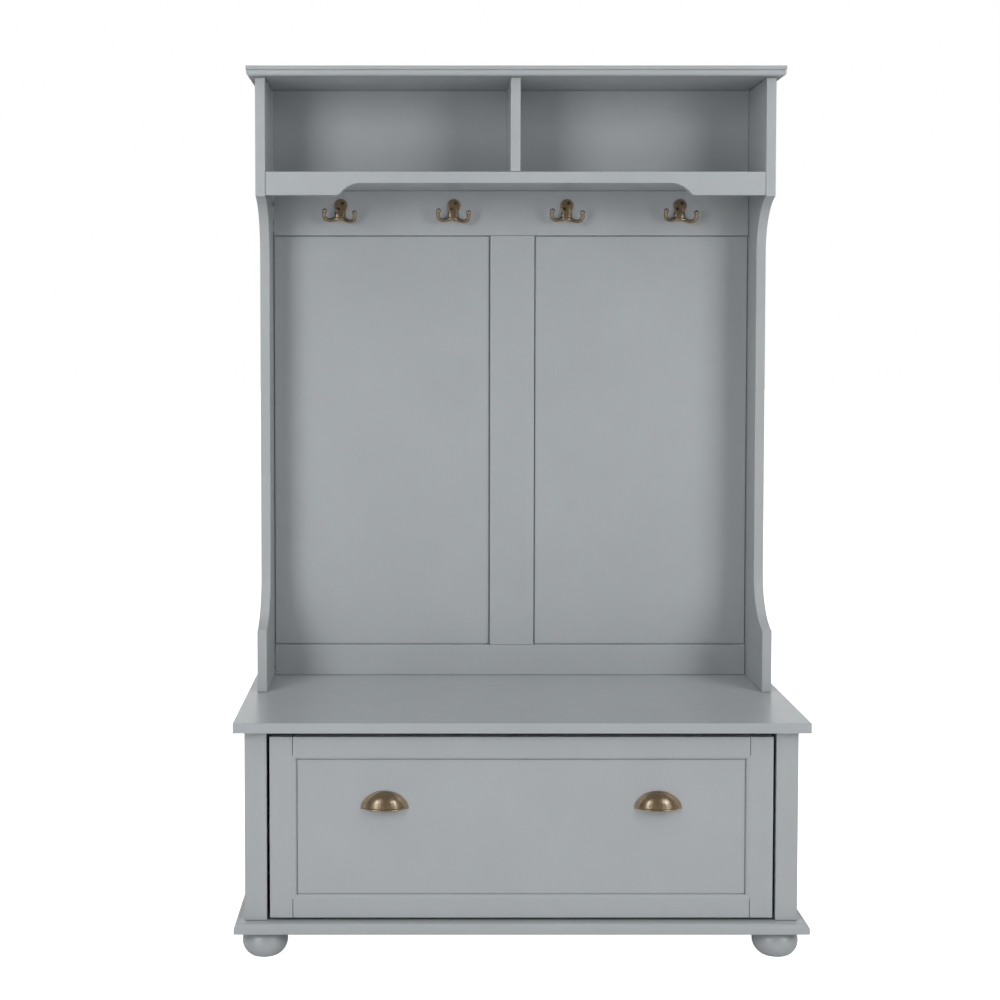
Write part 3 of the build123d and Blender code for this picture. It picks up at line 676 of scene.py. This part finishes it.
def pullMesh():
    mesh = bmesh.new()
    addBall(mesh, (0, 0, 0), pull["dome"])
    everything = mesh.verts[:] + mesh.edges[:] + mesh.faces[:]
    bmesh.ops.bisect_plane(mesh, geom=everything, plane_co=(0, 0, 0), plane_no=(0, 1, 0), clear_outer=True)
    bmesh.ops.solidify(mesh, geom=mesh.faces[:], thickness=pull["wall"])
    flange, inner = pull["flange"], pull["flangeInner"]
    ring = bmesh.ops.create_circle(mesh, cap_ends=False, segments=96, radius=1,
                                   matrix=Matrix.Rotation(math.pi / 2, 4, "X"))["verts"]
    bmesh.ops.scale(mesh, vec=(flange[0], 1, flange[1]), verts=ring)
    grown = bmesh.ops.extrude_edge_only(mesh, edges=list({e for v in ring for e in v.link_edges}))["geom"]
    bmesh.ops.scale(mesh, vec=(inner[0] / flange[0], 1, inner[1] / flange[1]),
                    verts=[g for g in grown if isinstance(g, bmesh.types.BMVert)])
    ringFaces = [g for g in grown if isinstance(g, bmesh.types.BMFace)]
    thick = bmesh.ops.extrude_face_region(mesh, geom=ringFaces)["geom"]
    bmesh.ops.translate(mesh, vec=(0, -pull["flangeThickness"], 0),
                        verts=[g for g in thick if isinstance(g, bmesh.types.BMVert)])
    for side in (-1, 1):
        addDisc(mesh, (side * pull["bossSpacing"], -pull["bossReach"] / 2, pull["bossHeight"]),
                (pull["bossRadius"],) * 2, pull["bossReach"], pull["bossEase"])
    lipX, lipY = pull["lipPath"]
    steps = pull["lipSteps"]
    arc = [math.pi * i / steps for i in range(steps + 1)]
    taperedBar(mesh, [(lipX * math.cos(a), -lipY * math.sin(a), pull["lip"]) for a in arc],
               [pull["lip"]] * (steps + 1))
    skin = castSkin(mesh, pull["voxel"], pull["softening"])
    # the half below the open edge goes, and then whatever lies behind the face of the panel
    for away in ((0, 0, -1), (0, 1, 0)):
        everything = skin.verts[:] + skin.edges[:] + skin.faces[:]
        cut = bmesh.ops.bisect_plane(skin, geom=everything, plane_co=(0, 0, 0), plane_no=away,
                                     clear_outer=True)
        bmesh.ops.triangle_fill(skin, edges=[g for g in cut["geom_cut"] if isinstance(g, bmesh.types.BMEdge)],
                                use_beauty=True)
    bmesh.ops.scale(skin, vec=(mm, mm, mm), verts=skin.verts)
    return skin


castPull = bpy.data.meshes.new("castPull")
pullMesh().to_mesh(castPull)
for side in ("left", "right"):
    low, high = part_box(f"pull_{side}")
    mesh = bmesh.new()
    mesh.from_mesh(castPull)
    bmesh.ops.translate(mesh, vec=((low.x + high.x) / 2, high.y, low.z), verts=mesh.verts)
    makePiece(f"cupPull{side.capitalize()}Casting", mesh, f"pull_{side}", sharp=60)
print("pulls made")

# CAD nodes that stay as they are: the slides get rounded bends, and every one gets its finish
slide = {"weld": 0.01 * mm, "bend": 0.5 * mm, "segments": 3}
for node, part in frame["nodes"].items():
    if part.hide_render:
        continue
    part.data.materials.clear()
    part.data.materials.append(finishes[slotOf[node]])
    if node.startswith("slide_") and "batten" not in node:
        weld = part.modifiers.new("weld", "WELD")
        weld.merge_threshold = slide["weld"]
        rounding = part.modifiers.new("rounding", "BEVEL")
        rounding.width = slide["bend"]
        rounding.segments = slide["segments"]
        rounding.limit_method = "ANGLE"
print("kept CAD nodes finished")

# Floor, camera and studio lights
studio = {"floorSize": 30, "floorGlow": 1.0, "background": 1.0, "fill": 0.0, "backFill": 1.15,
          "backEdge": (0.5, 0.8), "target": (0, 0, 0.8), "distance": 4.0, "glossyBelow": 40}
# each box: degrees round from the front, degrees up, width, height, watts
softBoxes = {
    "softBoxLeft": (-38, 20, 1.5, 1.5, 58),
    "softBoxLowLeft": (-38, -2, 1.5, 1.5, 29),
    "softBoxRight": (46, 20, 1.7, 1.5, 64),
    "softBoxLowRight": (46, -2, 1.7, 1.5, 21),
    "softBoxHighLeft": (-50, 42, 1.5, 1.5, 20),
    "softBoxHighRight": (54, 42, 1.5, 1.5, 24),
    "softBoxTopLeft": (-45, 72, 1.6, 1.6, 44),
    "softBoxTopRight": (45, 72, 1.6, 1.6, 16),
}
floorMesh = bmesh.new()
bmesh.ops.create_grid(floorMesh, x_segments=1, y_segments=1, size=studio["floorSize"])
floorData = bpy.data.meshes.new("studioFloor")
floorMesh.to_mesh(floorData)
floorMesh.free()
floor = bpy.data.objects.new("studioFloor", floorData)
scene.collection.objects.link(floor)
floorMaterial, tree = newMaterial("whiteStudioFloor")
white = linearColour("#FFFFFF")
glow = addNode(tree, "ShaderNodeMapRange", {
    "Value": addNode(tree, "ShaderNodeLightPath", {}, "Is Camera Ray"), "To Max": studio["floorGlow"]})
surface = addNode(tree, "ShaderNodeBsdfPrincipled", {
    "Base Color": linearColour("#EDEDED"), "Roughness": 0.9, "Emission Color": white,
    "Emission Strength": glow})
addNode(tree, "ShaderNodeOutputMaterial", {"Surface": surface})
floorData.materials.append(floorMaterial)

world = bpy.data.worlds.new("studioRoom")
world.use_nodes = True
world.node_tree.nodes.clear()
scene.world = world
tree = world.node_tree
intoDepth = addNode(tree, "ShaderNodeSeparateXYZ", {
    "Vector": addNode(tree, "ShaderNodeTexCoord", {}, "Generated")}, "Y")
strength = addNode(tree, "ShaderNodeMapRange", {
    "Value": intoDepth, "From Min": studio["backEdge"][0], "From Max": studio["backEdge"][1],
    "To Min": studio["fill"], "To Max": studio["backFill"]})
room = addNode(tree, "ShaderNodeBackground", {"Color": white, "Strength": strength})
plain = addNode(tree, "ShaderNodeBackground", {"Color": white, "Strength": studio["background"]})
seen = addNode(tree, "ShaderNodeMixShader", {
    0: addNode(tree, "ShaderNodeLightPath", {}, "Is Camera Ray"), 1: room, 2: plain})
addNode(tree, "ShaderNodeOutputWorld", {"Surface": seen})

target = Vector(studio["target"])
for name, (turn, lift, width, height, watts) in softBoxes.items():
    data = bpy.data.lights.new(name, "AREA")
    data.shape = "RECTANGLE"
    data.size, data.size_y, data.energy = width, height, watts
    aim = Matrix.Rotation(math.radians(turn), 3, "Z") @ Matrix.Rotation(math.radians(-lift), 3, "X")
    box = bpy.data.objects.new(name, data)
    box.location = target + aim @ Vector((0, -studio["distance"], 0))
    box.rotation_euler = (target - box.location).to_track_quat("-Z", "Y").to_euler()
    box.visible_camera = False
    box.visible_glossy = lift < studio["glossyBelow"]
    scene.collection.objects.link(box)

lens = {"sensor": 36, "focal": 55.434, "place": (-0.1692, -2.8317, 1.0818), "tiltDown": 0.0399,
        "shiftX": 0.0758, "shiftY": -0.10}
cameraData = bpy.data.cameras.new("camera")
cameraData.sensor_width = lens["sensor"]
cameraData.lens = lens["focal"]
cameraData.shift_x = lens["shiftX"]
cameraData.shift_y = lens["shiftY"]
camera = bpy.data.objects.new("camera", cameraData)
camera.location = lens["place"]
camera.rotation_euler = (math.pi / 2 - lens["tiltDown"], 0, 0)
scene.collection.objects.link(camera)
scene.camera = camera
scene.view_settings.view_transform = "Standard"
print("studio ready")
